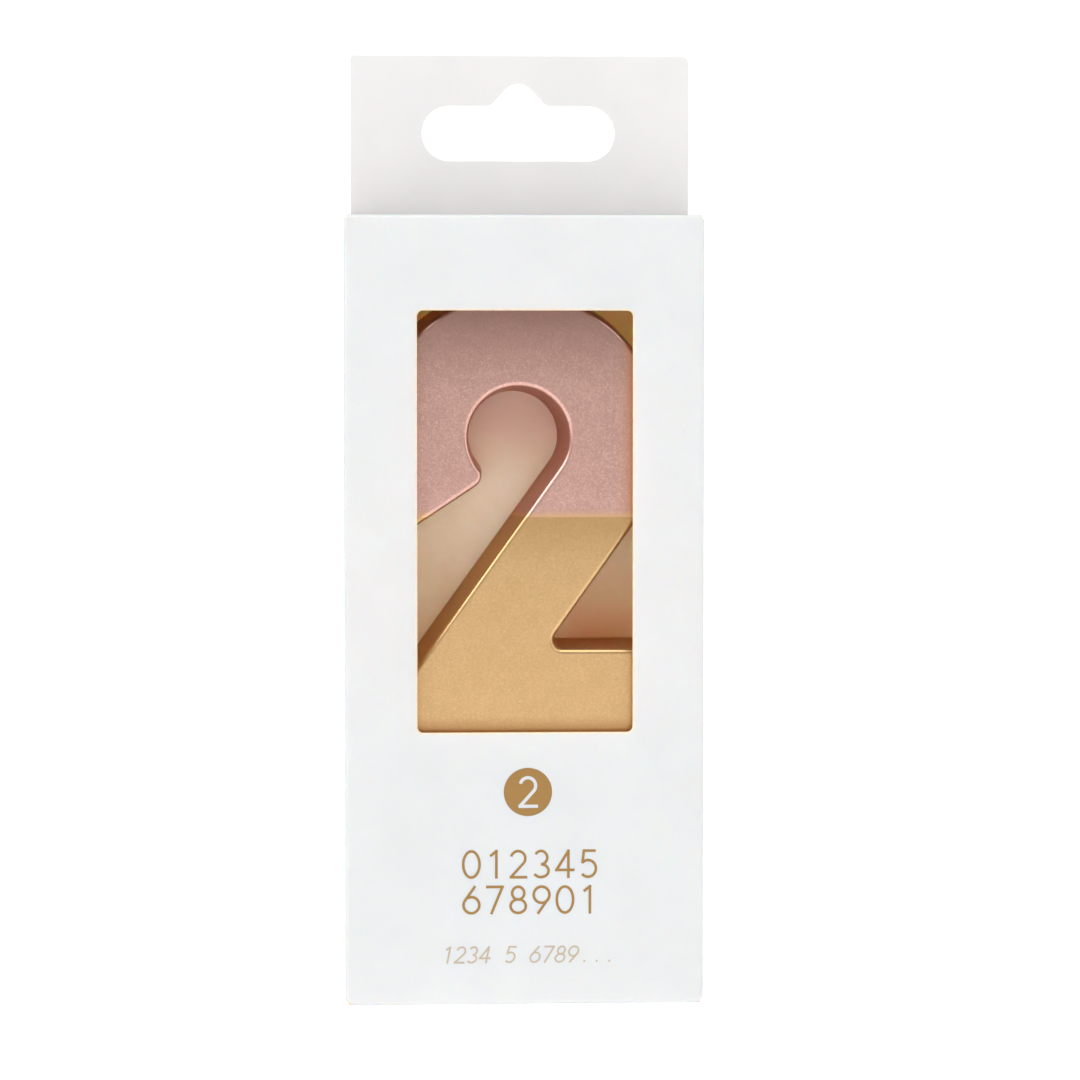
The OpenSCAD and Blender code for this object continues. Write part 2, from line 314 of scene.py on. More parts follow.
def rounded_rectangle(left, right, low, high, radii, inset=0.0, on_corner=8, on_side=14):
    """The [x, z] points of a rectangle with round corners, anticlockwise from its lower left one.
    inset moves every side inwards and takes the same off each radius."""
    left, right, low, high = left + inset, right - inset, low + inset, high - inset
    r = np.maximum(np.asarray(radii) - inset, 1e-6)
    cx = np.array([left + r[0], right - r[1], right - r[2], left + r[3]])
    cz = np.array([low + r[0], low + r[1], high - r[2], high - r[3]])
    start = np.radians([180.0, 270.0, 0.0, 90.0])
    a = start[:, None] + np.linspace(0.0, math.pi / 2, on_corner)[None]
    arcs = np.stack([cx[:, None] + r[:, None] * np.cos(a), cz[:, None] + r[:, None] * np.sin(a)], 2)
    nxt = np.roll(arcs[:, 0], -1, axis=0)
    s = np.linspace(0.0, 1.0, on_side + 2)[1:-1, None]
    sides = arcs[:, -1][:, None] * (1 - s) + nxt[:, None] * s
    return np.concatenate([arcs, sides], 1).reshape(-1, 2)


def at_depth(outline, y):
    """[x, z] points as [x, y, z] points at one depth."""
    return np.stack([outline[:, 0], np.full(len(outline), y), outline[:, 1]], 1)


def between(a, b, shares):
    """Rows of points part of the way from outline a to outline b."""
    return [a * (1 - s) + b * s for s in shares]


def window_edge(inset):
    """The window's outline, moved inwards."""
    return rounded_rectangle(-window_w / 2 + window_shift, window_w / 2 + window_shift, window_z,
                             window_z + window_h, [window_r] * 4, inset)


def front_edge(inset):
    """The front panel's outline, moved inwards."""
    return rounded_rectangle(-half_w, half_w, 0.0, box_h, front_corners, inset)


across = between(window_edge(-pressed), front_edge(fold_r), np.linspace(0.0, 1.0, 9)[:-1])
outer_rows = [at_depth(window_edge(0.0), front_y + 0.6 * pressed)] + [at_depth(o, front_y) for o in across]
inner_rows = [at_depth(o, front_y + card_t) for o in [window_edge(0.0)] + across]
for a in np.linspace(0.0, math.pi / 2, 7):
    in_a, back_a = 1 - math.sin(a), 1 - math.cos(a)
    outer_rows.append(at_depth(front_edge(fold_r * in_a), front_y + (fold_r - print_room) * back_a))
    inner_rows.append(at_depth(front_edge(card_t + inner_fold_r * in_a),
                               front_y + card_t + (inner_fold_r - print_room) * back_a))
front_panel = sheet_of_card("front_panel_card", np.array(outer_rows)[:, ::-1],
                            np.array(inner_rows)[:, ::-1], True, card_front)
slots = np.array([face.material_index for face in front_panel.data.polygons], np.int32)
slots[:len(across[0])] = 2      # the pressed strip round the window shows the core
front_panel.data.polygons.foreach_set("material_index", slots)
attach(front_panel, "carton")
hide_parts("front_panel")

# ---------------------------------------------------------------------------------------------
# Side panels: two plain faces of the same coated board. They run between the folds of the front
# and the back, and carry the dust flaps at their ends.
# ---------------------------------------------------------------------------------------------
side_low, side_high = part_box("right_side_panel")
for side, name in ((-1, "left_side_panel"), (1, "right_side_panel")):
    y = np.linspace(-half_d + fold_r, half_d - fold_r, 9)
    z = np.linspace(side_low.z + fold_r, side_high.z - fold_r, 40)
    zz, yy = np.meshgrid(z, y, indexing="ij")
    outer = np.stack([np.full_like(zz, side * half_w), yy, zz], 2)
    inner = np.stack([np.full_like(zz, side * (half_w - card_t)), yy, zz], 2)
    if side > 0:
        outer, inner = outer[::-1], inner[::-1]
    panel = sheet_of_card(name + "_card", outer[:, ::-1], inner[:, ::-1])
    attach(panel, "carton")
    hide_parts(name)

# ---------------------------------------------------------------------------------------------
# Back panel and hang tab: the back of the carton goes on upwards as a flat tab with a slot that
# is stamped out for a display peg.
# ---------------------------------------------------------------------------------------------
tab_half, tab_top = 28.75 * MM, back_high.z
tab_radii = [0.01 * MM, 0.01 * MM, 1.2 * MM, 0.5 * MM]
slot_w, slot_h, slot_up, slot_shift = 32.9 * MM, 9.4 * MM, 9.65 * MM, -0.25 * MM
hump_h, hump_r, hump_a, hump_foot_r = 3.75 * MM, 3.0 * MM, 47.0, 1.2 * MM


def arc(centre, r, a0, a1, n):
    """Points of an arc in n steps, angles in degrees."""
    a = np.radians(np.linspace(a0, a1, n + 1))
    return np.stack([centre[0] + r * np.cos(a), centre[1] + r * np.sin(a)], 1)


def hang_slot_outline():
    """A long hole with round ends and a hump in the middle of its upper side, anticlockwise."""
    r = slot_h / 2
    hub = (0.0, slot_h + hump_h - hump_r)
    lean = math.radians(hump_a)
    edge = (hump_r * math.sin(lean), hub[1] + hump_r * math.cos(lean))
    foot_x = edge[0] + (edge[1] - slot_h) / math.tan(lean)
    corner = (foot_x + hump_foot_r * math.tan(lean / 2), slot_h + hump_foot_r)
    right = np.concatenate([arc((slot_w / 2 - r, r), r, -90, 90, 24),
                            arc(corner, hump_foot_r, 270, 270 - hump_a, 8),
                            arc(hub, hump_r, 90 - hump_a, 90, 10)])
    left = right[::-1][1:] * np.array([-1.0, 1.0])
    return np.concatenate([right, left])


def reach(outline, centre, angles):
    """How far a star-shaped outline lies from a centre, in each direction."""
    closed = np.concatenate([outline, outline[:1]])
    s = np.linspace(0.0, 1.0, 24, endpoint=False)[:, None, None]
    dense = (closed[None, :-1] * (1 - s) + closed[None, 1:] * s).reshape(-1, 2) - centre
    a = np.arctan2(dense[:, 1], dense[:, 0])
    order = np.argsort(a)
    return np.interp(angles, a[order], np.hypot(dense[:, 0], dense[:, 1])[order], period=2 * math.pi)


slot_line = hang_slot_outline() + np.array([slot_shift, box_h + slot_up])
slot_mid = np.array([slot_shift, box_h + slot_up + slot_h / 2])
tab_line = rounded_rectangle(-tab_half, tab_half, box_h, tab_top, tab_radii, 0.0, 6, 20)
key_points = np.concatenate([slot_line, tab_line]) - slot_mid
angles = np.unique(np.round(np.arctan2(key_points[:, 1], key_points[:, 0]), 5))
ray = np.stack([np.cos(angles), np.sin(angles)], 1)
slot_ring = slot_mid + ray * reach(slot_line, slot_mid, angles)[:, None]
tab_ring = slot_mid + ray * reach(tab_line, slot_mid, angles)[:, None]
rings = between(slot_ring, tab_ring, np.linspace(0.0, 1.0, 6))
tab_outer = np.array([at_depth(o, half_d) for o in rings])
tab_inner = np.array([at_depth(o, half_d - card_t) for o in rings])
hang_tab = sheet_of_card("hang_tab_card", tab_outer, tab_inner, True, inside=card_outside)
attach(hang_tab, "carton")


def back_wall(r):
    """The back and its two rounded folds, r from the folds' centres, as a path in [x, y] from the
    right to the left, repeated at each height: (heights, points, 3)."""
    fold = np.linspace(0.0, math.pi / 2, 7)[:-1]
    right = np.stack([half_w - fold_r + r * np.cos(fold), half_d - fold_r + r * np.sin(fold)], 1)
    x = np.linspace(half_w - fold_r, -half_w + fold_r, 30)
    flat = np.stack([x, np.full_like(x, half_d - fold_r + r)], 1)
    path = np.concatenate([right, flat, right[::-1] * np.array([-1.0, 1.0])])
    z = np.linspace(0.0, box_h, 34)
    return np.concatenate([np.repeat(path[None], len(z), 0), np.repeat(z[:, None, None], len(path), 1)], 2)


def x_and_z(tree):
    """The x and the z of a piece's Object coordinates, in metres."""
    parts = tree.nodes.new("ShaderNodeSeparateXYZ")
    tree.links.new(coords_of(tree), parts.inputs["Vector"])
    return parts.outputs["X"], parts.outputs["Z"]


# Painted shade and painted bounce light on the back's inner face: it is painted greyer behind the bowl as a
# painted shadow of the bowl, and warmer beside the foot as painted light bounced off the gold.
back_inside_painted_shade = card_inside.copy()
back_inside_painted_shade.name = "card_inside_back_painted_shade"
back_tree = back_inside_painted_shade.node_tree
back_colour = back_tree.nodes["Principled BSDF"].inputs["Base Color"]
board = back_colour.links[0].from_socket
back_x, back_z = x_and_z(back_tree)
painted_shade_behind_bowl = arithmetic(back_tree, "MULTIPLY", spread(back_tree, back_z, 84.0 * MM, 102.0 * MM, 0.0, 0.52),
                         spread(back_tree, back_z, 103.0 * MM, 108.0 * MM, 1.0, 0.0))
painted_bounce_beside_foot = arithmetic(back_tree, "MULTIPLY", spread(back_tree, back_x, 2.0 * MM, 10.0 * MM, 0.0, 0.42),
                         spread(back_tree, back_z, 62.0 * MM, 76.0 * MM, 1.0, 0.0))
shade_greyed_board = mixed(back_tree, painted_shade_behind_bowl, board, (0.30, 0.325, 0.305))
back_tree.links.new(mixed(back_tree, painted_bounce_beside_foot, shade_greyed_board, (0.66, 0.46, 0.27)), back_colour)
back_panel = sheet_of_card("back_panel_card", back_wall(fold_r), back_wall(inner_fold_r), False,
                           card_outside, back_inside_painted_shade)
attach(back_panel, "carton")
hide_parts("back_panel")

# ---------------------------------------------------------------------------------------------
# Glue flap: the blank's last strip, which shows the plain reverse of the board. It is folded in
# from the back and glued inside the right side.
# ---------------------------------------------------------------------------------------------
glue_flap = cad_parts["glue_flap"]
glue_flap.data.materials.clear()
glue_flap.data.materials.append(card_inside)


# ---------------------------------------------------------------------------------------------
# Closures: at each end a panel creased to the front, its tuck lip creased to the panel's far
# edge, and two dust flaps creased to the sides. The lower end is the upper one turned over.
# ---------------------------------------------------------------------------------------------
closure_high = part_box("top_closure_panel")[1]
lip_low, lip_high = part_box("top_tuck_lip")
flap_box_low, flap_box_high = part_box("top_dust_flap_right")
lip_corner_r = 3.5 * MM
crease = 0.8 * MM                                    # how much of a panel its crease takes up
flap_slant, flap_tip, flap_step = 0.59, 2.5 * MM, 1.4 * MM


def at_height(z, top):
    """A height at the top of the carton, or as far from its foot."""
    return z if top else box_h - z


def at_end(grid, top):
    """A grid of points at the top of the carton, or turned over for its foot, with the columns
    reversed there so that the sheet still faces outwards."""
    turned = grid if top else grid[:, ::-1].copy()
    turned[..., 2] = at_height(turned[..., 2], top)
    return turned


def strip_of_card(name, path, normals, half_widths, top):
    """A sheet along a bent path of [y, z] points of its outer face. normals point outwards there,
    and half_widths is how far it reaches to each side along x."""
    side = half_widths[:, None] * np.linspace(-1.0, 1.0, 31)[None]
    outer, inner = (np.concatenate([side[..., None], np.repeat(p[:, None], 31, 1)], 2)
                    for p in (path, path - normals * card_t))
    return sheet_of_card(name, at_end(outer, top), at_end(inner, top))


for end in ("top", "bottom"):
    top = end == "top"

    y = np.concatenate([np.linspace(-half_d + fold_r, -half_d + fold_r + crease, 7),
                        np.linspace(-half_d + fold_r + crease, lip_high.y - fold_r, 14)[1:]])
    path = np.stack([y, np.full_like(y, box_h)], 1)
    up = np.repeat(np.array([[0.0, 1.0]]), len(y), 0)
    panel = strip_of_card(end + "_closure_card", path, up, np.full(len(y), closure_high.x), top)
    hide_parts(end + "_closure_panel")
    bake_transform(panel)

    # The lip rolls over the closure's far edge and hangs down, with its two free corners round.
    hub = np.array([lip_high.y - fold_r, box_h - fold_r])
    a = np.linspace(math.pi / 2, 0.0, 9)
    bend = np.stack([np.cos(a), np.sin(a)], 1)
    corner_a = np.linspace(0.0, math.pi / 2, 9)[1:]
    z = np.concatenate([np.linspace(box_h - fold_r, lip_low.z + lip_corner_r, 8)[1:],
                        lip_low.z + lip_corner_r * (1 - np.sin(corner_a))])
    path = np.concatenate([hub + fold_r * bend, np.stack([np.full_like(z, lip_high.y), z], 1)])
    normals = np.concatenate([bend, np.repeat(np.array([[1.0, 0.0]]), len(z), 0)])
    rise = np.clip((path[:, 1] - lip_low.z) / lip_corner_r, 0.0, 1.0)
    widths = lip_high.x - lip_corner_r * (1 - np.sqrt(1 - (1 - rise) ** 2))
    lip = strip_of_card(end + "_lip_card", path, normals, widths, top)
    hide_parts(end + "_tuck_lip")
    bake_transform(lip)

    # A dust flap bends over from its side panel. Its front edge slants back to the tip, and its
    # back edge steps in where the lip passes.
    root_y, back_y = flap_box_low.y, flap_box_high.y
    front_tip = root_y + flap_slant * (half_w - flap_box_low.x)
    full_reach = half_w - card_t - flap_box_low.x
    for side, word in ((-1, "left"), (1, "right")):
        hub = np.array([half_w - fold_r, side_high.z - fold_r])
        a = np.linspace(0.0, math.pi / 2, 9)
        bend = np.stack([np.cos(a), np.sin(a)], 1)
        x = np.concatenate([np.linspace(hub[0], lip_high.x, 3)[1:],
                            np.linspace(lip_high.x, flap_box_low.x, 14)[1:]])
        path = np.concatenate([hub + fold_r * bend, np.stack([x, np.full_like(x, side_high.z)], 1)])
        normals = np.concatenate([bend, np.repeat(np.array([[0.0, 1.0]]), len(x), 0)])
        reach_in = half_w - card_t - path[:, 0]
        step = np.clip(reach_in / (half_w - card_t - lip_high.x), 0.0, 1.0)
        after = np.clip((lip_high.x - path[:, 0]) / (lip_high.x - flap_box_low.x), 0.0, 1.0)
        y_front = root_y + (front_tip - root_y) * np.clip(reach_in / full_reach, 0.0, 1.0)
        y_back = back_y - flap_step * step + (front_tip + flap_tip - back_y + flap_step) * after
        u = np.linspace(0.0, 1.0, 9)[None]
        yy = (y_front[:, None] * (1 - u) + y_back[:, None] * u)[..., None]
        outer, inner = (np.concatenate([np.repeat(side * p[:, None, :1], 9, 1), yy,
                                        np.repeat(p[:, None, 1:], 9, 1)], 2)
                        for p in (path, path - normals * card_t))
        if side < 0:
            outer, inner = outer[:, ::-1], inner[:, ::-1]
        node = end + "_dust_flap_" + word
        flap = sheet_of_card(node + "_card", at_end(outer, top), at_end(inner, top))
        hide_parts(node)
        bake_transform(flap)

# ---------------------------------------------------------------------------------------------
# Numeral: wax cast in an open mould, so that its walls lean outwards to the back and its front
# edge is soft. It is sprayed in a pearly rose lacquer above and a satin gold one below.
# ---------------------------------------------------------------------------------------------
gold_low, gold_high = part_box("gold_coat")
foot_z, split_z = gold_low.z, gold_high.z
numeral_t = gold_high.y - gold_low.y
num_h, stroke, counter_r = 75.2 * MM, 15.75 * MM, 8.5 * MM
diag_a, foot_h, heel_h, foot_right = 54.3, 15.45 * MM, 3.54 * MM, 24.2 * MM
hook_cut_a, hook_cut_drop, tip_r = 33.5, 2.83 * MM, 1.9 * MM
foot_corner_r, notch_r = 1.5 * MM, 1.6 * MM
draft, edge_r, back_r, coat_t = 0.95 * MM, 0.8 * MM, 0.35 * MM, 0.3 * MM
flat_rim = 0.04 * MM                        # a narrow flat ring round each face keeps it flat
skew_x, skew_z = -0.45 * MM, 0.15 * MM      # how far the back lies off the front in this cast
bowl_r = counter_r + stroke
bowl = np.array([-0.9 * MM, foot_z + num_h - bowl_r])
diag = math.radians(diag_a)


def toward(p, q):
    """The direction from one point to another, from 0 to 360 degrees."""
    return math.degrees(math.atan2(q[1] - p[1], q[0] - p[0])) % 360.0


def diagonal_x(off, z):
    """Where a line with the diagonal's slope, off beside the bowl's centre, meets a height."""
    return bowl[0] + (off + (z - bowl[1]) * math.cos(diag)) / math.sin(diag)


def tip_centre(r):
    """Where the rounding of a hook tip is centred, r from the bowl's centre."""
    down = hook_cut_drop - tip_r
    along = math.sqrt(r * r - down * down)
    cut = math.radians(hook_cut_a)
    return bowl + np.array([down * math.sin(cut) - along * math.cos(cut),
                            -down * math.cos(cut) - along * math.sin(cut)])


def numeral_outline(grow, base):
    """The outline of the 2, anticlockwise, moved outwards by grow but for its base: a bowl of two
    arcs about one centre, a hook cut off with round tips, a diagonal and a foot bar."""
    tip_o, tip_i = tip_centre(bowl_r - tip_r), tip_centre(counter_r + tip_r)
    foot_r = foot_corner_r + grow
    left = diagonal_x(counter_r, foot_z + heel_h) + foot_corner_r
    right = bowl[0] + foot_right - foot_corner_r
    heel_z = bowl[1] + ((left - bowl[0]) * math.sin(diag) - counter_r - foot_corner_r) / math.cos(diag)
    in_z = foot_z + foot_h + notch_r
    notch = (diagonal_x(bowl_r + notch_r, in_z), in_z)
    return np.concatenate([
        arc(bowl, bowl_r + grow, diag_a - 90, toward(bowl, tip_o), 72),
        arc(tip_o, tip_r + grow, toward(bowl, tip_o) + 6, hook_cut_a + 270, 10),
        arc(tip_i, tip_r + grow, hook_cut_a + 270, toward(tip_i, bowl) + 354, 14),
        arc(bowl, counter_r - grow, toward(bowl, tip_i), diag_a - 90, 64),
        arc((left, heel_z), foot_r, diag_a + 90, 180, 6),
        arc((left, base + foot_r), foot_r, 180, 270, 8),
        arc((right, base + foot_r), foot_r, 270, 360, 8),
        arc((right, foot_z + foot_h - foot_corner_r), foot_r, 0, 90, 8),
        arc(notch, notch_r - grow, 270, diag_a + 90, 12)])


def numeral_rings(inset):
    """Rings from the front face to the back, inset from the outer surface: the soft front edge is
    a quarter round, the wall leans out by draft, and the back edge has a small round. Each station
    is a depth and how far the outline is moved outwards there."""
    a = np.linspace(0.0, math.pi / 2, 9)
    face_y, back_y = -numeral_t / 2, numeral_t / 2
    soft, small = edge_r - inset, back_r - inset
    stations = [(face_y + inset, -edge_r - flat_rim)]
    stations += [(face_y + inset + soft * (1 - math.cos(t)), -inset - soft * (1 - math.sin(t))) for t in a]
    stations += [(face_y + edge_r + s * (numeral_t - edge_r - back_r), draft * s - inset)
                 for s in np.linspace(0.0, 1.0, 7)[1:]]
    stations += [(back_y - back_r + small * math.sin(t), draft - inset - small * (1 - math.cos(t)))
                 for t in a[2::2]]
    stations.append((back_y - inset, draft - back_r - flat_rim))
    rings = []
    for n, (y, grow) in enumerate(stations):
        share = y / numeral_t + 0.5
        on_face = n in (0, len(stations) - 1)
        base = foot_z + inset + (flat_rim if on_face else 0.0) - skew_z * share
        rings.append(at_depth(numeral_outline(grow, base) + np.array([skew_x, skew_z]) * share, y))
    return np.array(rings)


def loft(rings):
    """Points and faces of a closed solid through rings, with a flat face at each end."""
    rows, cols = rings.shape[:2]
    i, j = np.meshgrid(np.arange(rows - 1), np.arange(cols), indexing="ij")
    i, j = i.ravel(), j.ravel()
    k = (j + 1) % cols
    walls = np.stack([i * cols + j, i * cols + k, (i + 1) * cols + k, (i + 1) * cols + j], 1)[:, ::-1]
    faces = walls.tolist()
    faces.append(list(range(cols)))
    faces.append(list(range((rows - 1) * cols, rows * cols))[::-1])
    return rings.reshape(-1, 3), faces


# Pearl: mica flakes in lacquer. Tone is a fine grain with soft clouds, Fleck marks single bright
# flakes, and Height is the faint orange peel of a sprayed coat.
pearl_group, g_in, g_out = effect_group(
    "pearl_flakes", {"Flake Scale": 3400.0, "Cloud Scale": 420.0}, ("Tone", "Fleck", "Height"))
g_coords = coords_of(pearl_group)
grain = noise(pearl_group, g_coords, g_in.outputs["Flake Scale"], 2.0, 0.6)
haze = noise(pearl_group, g_coords, g_in.outputs["Cloud Scale"], 3.0, 0.5)
tone = arithmetic(pearl_group, "ADD", arithmetic(pearl_group, "MULTIPLY", grain, 0.75),
                  arithmetic(pearl_group, "MULTIPLY", haze, 0.25))
pearl_group.links.new(spread(pearl_group, tone, 0.38, 0.62), g_out.inputs["Tone"])
pearl_group.links.new(spread(pearl_group, grain, 0.64, 0.72), g_out.inputs["Fleck"])
pearl_group.links.new(arithmetic(pearl_group, "ADD", haze, arithmetic(pearl_group, "MULTIPLY", grain, 0.4)),
                      g_out.inputs["Height"])


def lacquer_material(name, light, shade, fleck, sparkle, roughness, metallic):
    """Lacquer full of flakes; its material, tree and shader, and the socket of its colour."""
    material, tree, shader = principled(name, light, roughness, metallic)
    flakes = tree.nodes.new("ShaderNodeGroup")
    flakes.node_tree = pearl_group
    body = mixed(tree, flakes.outputs["Tone"], shade, light)
    colour = mixed(tree, arithmetic(tree, "MULTIPLY", flakes.outputs["Fleck"], sparkle), body, fleck)
    bump = tree.nodes.new("ShaderNodeBump")
    bump.inputs["Strength"].default_value = 0.35
    bump.inputs["Distance"].default_value = 0.02 * MM
    tree.links.new(flakes.outputs["Height"], bump.inputs["Height"])
    tree.links.new(bump.outputs["Normal"], shader.inputs["Normal"])
    tree.links.new(colour, shader.inputs["Base Color"])
    return material, tree, shader, colour


# The rose is painted darker over the crown of the bowl, a painted shade where the carton's top edge shades
# it, and warmer down its right side, a painted reflection of light bounced off the card inside; the gold
# spray drifts a little way up over it.
rose_lacquer, rose_tree, rose_shader, rose_colour = lacquer_material(
    "rose_lacquer", (0.69, 0.42, 0.36), (0.58, 0.345, 0.295), (0.92, 0.70, 0.63), 0.5, 0.3, 0.85)
rose_shader.inputs["Specular Tint"].default_value = (0.55, 0.32, 0.24, 1.0)
rose_x, rose_z = x_and_z(rose_tree)
crown = spread(rose_tree, rose_z, 101.0 * MM, 116.5 * MM, 0.0, 0.72)
painted_reflection_bowl_side = spread(rose_tree, rose_x, 15.6 * MM, 18.2 * MM, 0.0, 0.6)
drift = spread(rose_tree, rose_z, split_z, split_z + 1.3 * MM, 1.0, 0.0)
shaded_rose_colour = mixed(rose_tree, crown, rose_colour, (0.34, 0.19, 0.155))
bounce_lit_rose_colour = mixed(rose_tree, painted_reflection_bowl_side, shaded_rose_colour, (0.66, 0.33, 0.19))
rose_tree.links.new(mixed(rose_tree, drift, bounce_lit_rose_colour, (0.72, 0.43, 0.25)), rose_shader.inputs["Base Color"])

# The gold is darker close under the rose, and painted darker along the foot as painted shade where the
# carton's lower edge shades it.
gold_lacquer, gold_tree, gold_shader, gold_colour = lacquer_material(
    "gold_lacquer", (0.665, 0.43, 0.21), (0.60, 0.38, 0.175), (0.88, 0.70, 0.42), 0.22, 0.32, 0.88)
gold_shader.inputs["Specular Tint"].default_value = (0.6, 0.4, 0.3, 1.0)
gold_z = x_and_z(gold_tree)[1]
seam = spread(gold_tree, gold_z, split_z - 9.0 * MM, split_z, 0.0, 0.45)
painted_shade_at_foot = spread(gold_tree, gold_z, foot_z + 2.0 * MM, foot_z + 4.6 * MM, 0.6, 0.0)
darker_under_rose = mixed(gold_tree, seam, gold_colour, (0.46, 0.26, 0.11))
gold_tree.links.new(mixed(gold_tree, painted_shade_at_foot, darker_under_rose, (0.46, 0.24, 0.09)), gold_shader.inputs["Base Color"])


def coat_shell(name, material, above):
    """The coat above or below the split: the outer and inner lofts cut at that height, and the
    cut closed by a flat rim between them."""
    shell = bmesh.new()
    for rings, flip in ((numeral_rings(0.0), False), (numeral_rings(coat_t), True)):
        points, faces = loft(rings)
        corners = [shell.verts.new(p) for p in points]
        for face in faces:
            shell.faces.new([corners[i] for i in (face[::-1] if flip else face)])
    shell.normal_update()
    bmesh.ops.triangulate(shell, faces=[face for face in shell.faces if len(face.verts) > 4])
    cut = bmesh.ops.bisect_plane(shell, geom=shell.verts[:] + shell.edges[:] + shell.faces[:], dist=1e-9,
                                 plane_co=(0.0, 0.0, split_z), plane_no=(0.0, 0.0, 1.0),
                                 clear_outer=not above, clear_inner=above)
    rim = [e for e in cut["geom_cut"] if isinstance(e, bmesh.types.BMEdge)]
    filled = bmesh.ops.triangle_fill(shell, use_beauty=True, edges=rim,
                                     normal=(0.0, 0.0, -1.0 if above else 1.0))
    for face in filled["geom"]:
        if isinstance(face, bmesh.types.BMFace):
            face.normal_update()
            if (face.normal.z > 0) == above:
                face.normal_flip()
    mesh = bpy.data.meshes.new(name)
    shell.to_mesh(mesh)
    shell.free()
    mesh.materials.append(material)
    mesh.polygons.foreach_set("use_smooth", np.ones(len(mesh.polygons), bool))
    mesh.set_sharp_from_angle(angle=math.radians(30.0))
    made = bpy.data.objects.new(name, mesh)
    scene.collection.objects.link(made)
    return made


rose_coat = coat_shell("rose_coat_shell", rose_lacquer, True)
gold_coat = coat_shell("gold_coat_shell", gold_lacquer, False)
for coat, node, finish in ((rose_coat, "rose_coat", "rose_lacquer"),
                           (gold_coat, "gold_coat", "gold_lacquer")):
    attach(coat, "candle")
    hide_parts(node)


def cloud_colour(tree, shader, scale, detail, rough, light, shade):
    """Lets a shader's colour drift between two tones by a noise, and returns the noise's socket."""
    cloud = noise(tree, coords_of(tree), scale, detail, rough)
    tree.links.new(mixed(tree, cloud, light, shade), shader.inputs["Base Color"])
    return cloud


wax, wax_tree, wax_shader = principled("wax", (0.86, 0.8, 0.68), 0.45)
wax_shader.inputs["Subsurface Weight"].default_value = 0.3
wax_shader.inputs["Subsurface Scale"].default_value = 1.0
wax_shader.inputs["Subsurface Radius"].default_value = (0.004, 0.003, 0.002)
cloud_colour(wax_tree, wax_shader, 300.0, 3.0, 0.5, (0.88, 0.82, 0.71), (0.8, 0.73, 0.6))
under_coat = 0.02 * MM      # the wax lies this far inside the coats, so that no two faces coincide
wax_points, wax_faces = loft(numeral_rings(coat_t + under_coat))
wax_core = mesh_object("wax_core_casting", wax_points, wax_faces, [wax], None, 30.0)
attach(wax_core, "candle")
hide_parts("wax_core")

# ---------------------------------------------------------------------------------------------
# Wick: three cotton yarns braided round each other and dipped in wax. It is cast into the crown
# of the bowl and stands up out of it.
# ---------------------------------------------------------------------------------------------
wick_low, wick_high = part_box("wick")
wick_r = (wick_high.x - wick_low.x) / 2
wick_x, wick_y = (wick_high.x + wick_low.x) / 2, (wick_high.y + wick_low.y) / 2
wick_mat, wick_tree, wick_shader = principled("waxed_cotton", (0.86, 0.83, 0.76), 0.7)
wick_noise = cloud_colour(wick_tree, wick_shader, 3500.0, 4.0, 0.6, (0.88, 0.86, 0.8), (0.72, 0.68, 0.6))
wick_bump = wick_tree.nodes.new("ShaderNodeBump")
wick_bump.inputs["Distance"].default_value = 0.05 * MM
wick_tree.links.new(wick_noise, wick_bump.inputs["Height"])
wick_tree.links.new(wick_bump.outputs["Normal"], wick_shader.inputs["Normal"])
lay = 4.2 * MM      # the height of one full turn of a yarn
wz = np.concatenate([[wick_low.z], np.linspace(wick_low.z, wick_high.z - 0.3 * MM, 130), [wick_high.z]])
taper = np.concatenate([[0.7], np.ones(129), [0.93], [0.55]])
theta = np.linspace(0.0, 2 * math.pi, 36, endpoint=False)
zz, tt = np.meshgrid(wz, theta, indexing="ij")
turned = 2 * math.pi * zz / lay
yarns = (np.abs(np.cos(1.5 * (tt - turned))) + np.abs(np.cos(1.5 * (tt + turned)))) / 2
rr = wick_r * taper[:, None] * (0.86 + 0.14 * yarns)
wick_rings = np.stack([wick_x + rr * np.cos(tt), wick_y + rr * np.sin(tt), zz], 2)[:, ::-1]
wick_points, wick_faces = loft(wick_rings)
wick = mesh_object("wick_braid", wick_points, wick_faces, [wick_mat], None, 60.0)
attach(wick, "candle")
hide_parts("wick")

# ---------------------------------------------------------------------------------------------
# Picks: two spikes with a collar, moulded in white plastic. They are pushed up into the foot of
# the candle, hold it up in the carton and later stand it on a cake.
# ---------------------------------------------------------------------------------------------
pick_mat, pick_tree, pick_shader = principled("pick_plastic", (0.85, 0.85, 0.83), 0.3)
pick_noise = cloud_colour(pick_tree, pick_shader, 900.0, 2.0, 0.5, (0.86, 0.86, 0.84), (0.8, 0.8, 0.78))
pick_tree.links.new(spread(pick_tree, pick_noise, 0.3, 0.7, 0.26, 0.36), pick_shader.inputs["Roughness"])
for node in ("pick_left", "pick_right"):
    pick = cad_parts[node]
    pick.data.materials.clear()
    pick.data.materials.append(pick_mat)

# ---------------------------------------------------------------------------------------------
# Foil print: thin gold foil pressed on the front, as a round badge with a 2 left bare, two rows
# of plain digits and a paler slanted row below.
# ---------------------------------------------------------------------------------------------
foil_mat, foil_tree, foil_shader = principled("gold_foil", (0.385, 0.225, 0.08), 0.42, 0.95)
cloud_colour(foil_tree, foil_shader, 1500.0, 3.0, 0.6, (0.40, 0.235, 0.085), (0.355, 0.205, 0.07))
pale_mat, pale_tree, pale_shader = principled("pale_foil", (0.52, 0.43, 0.30), 0.5, 0.5)
cloud_colour(pale_tree, pale_shader, 1500.0, 3.0, 0.6, (0.54, 0.45, 0.32), (0.48, 0.39, 0.27))
foil_lift, foil_t, stroke_lift, bare_lift = 0.012 * MM, 0.02 * MM, 0.002 * MM, 0.006 * MM


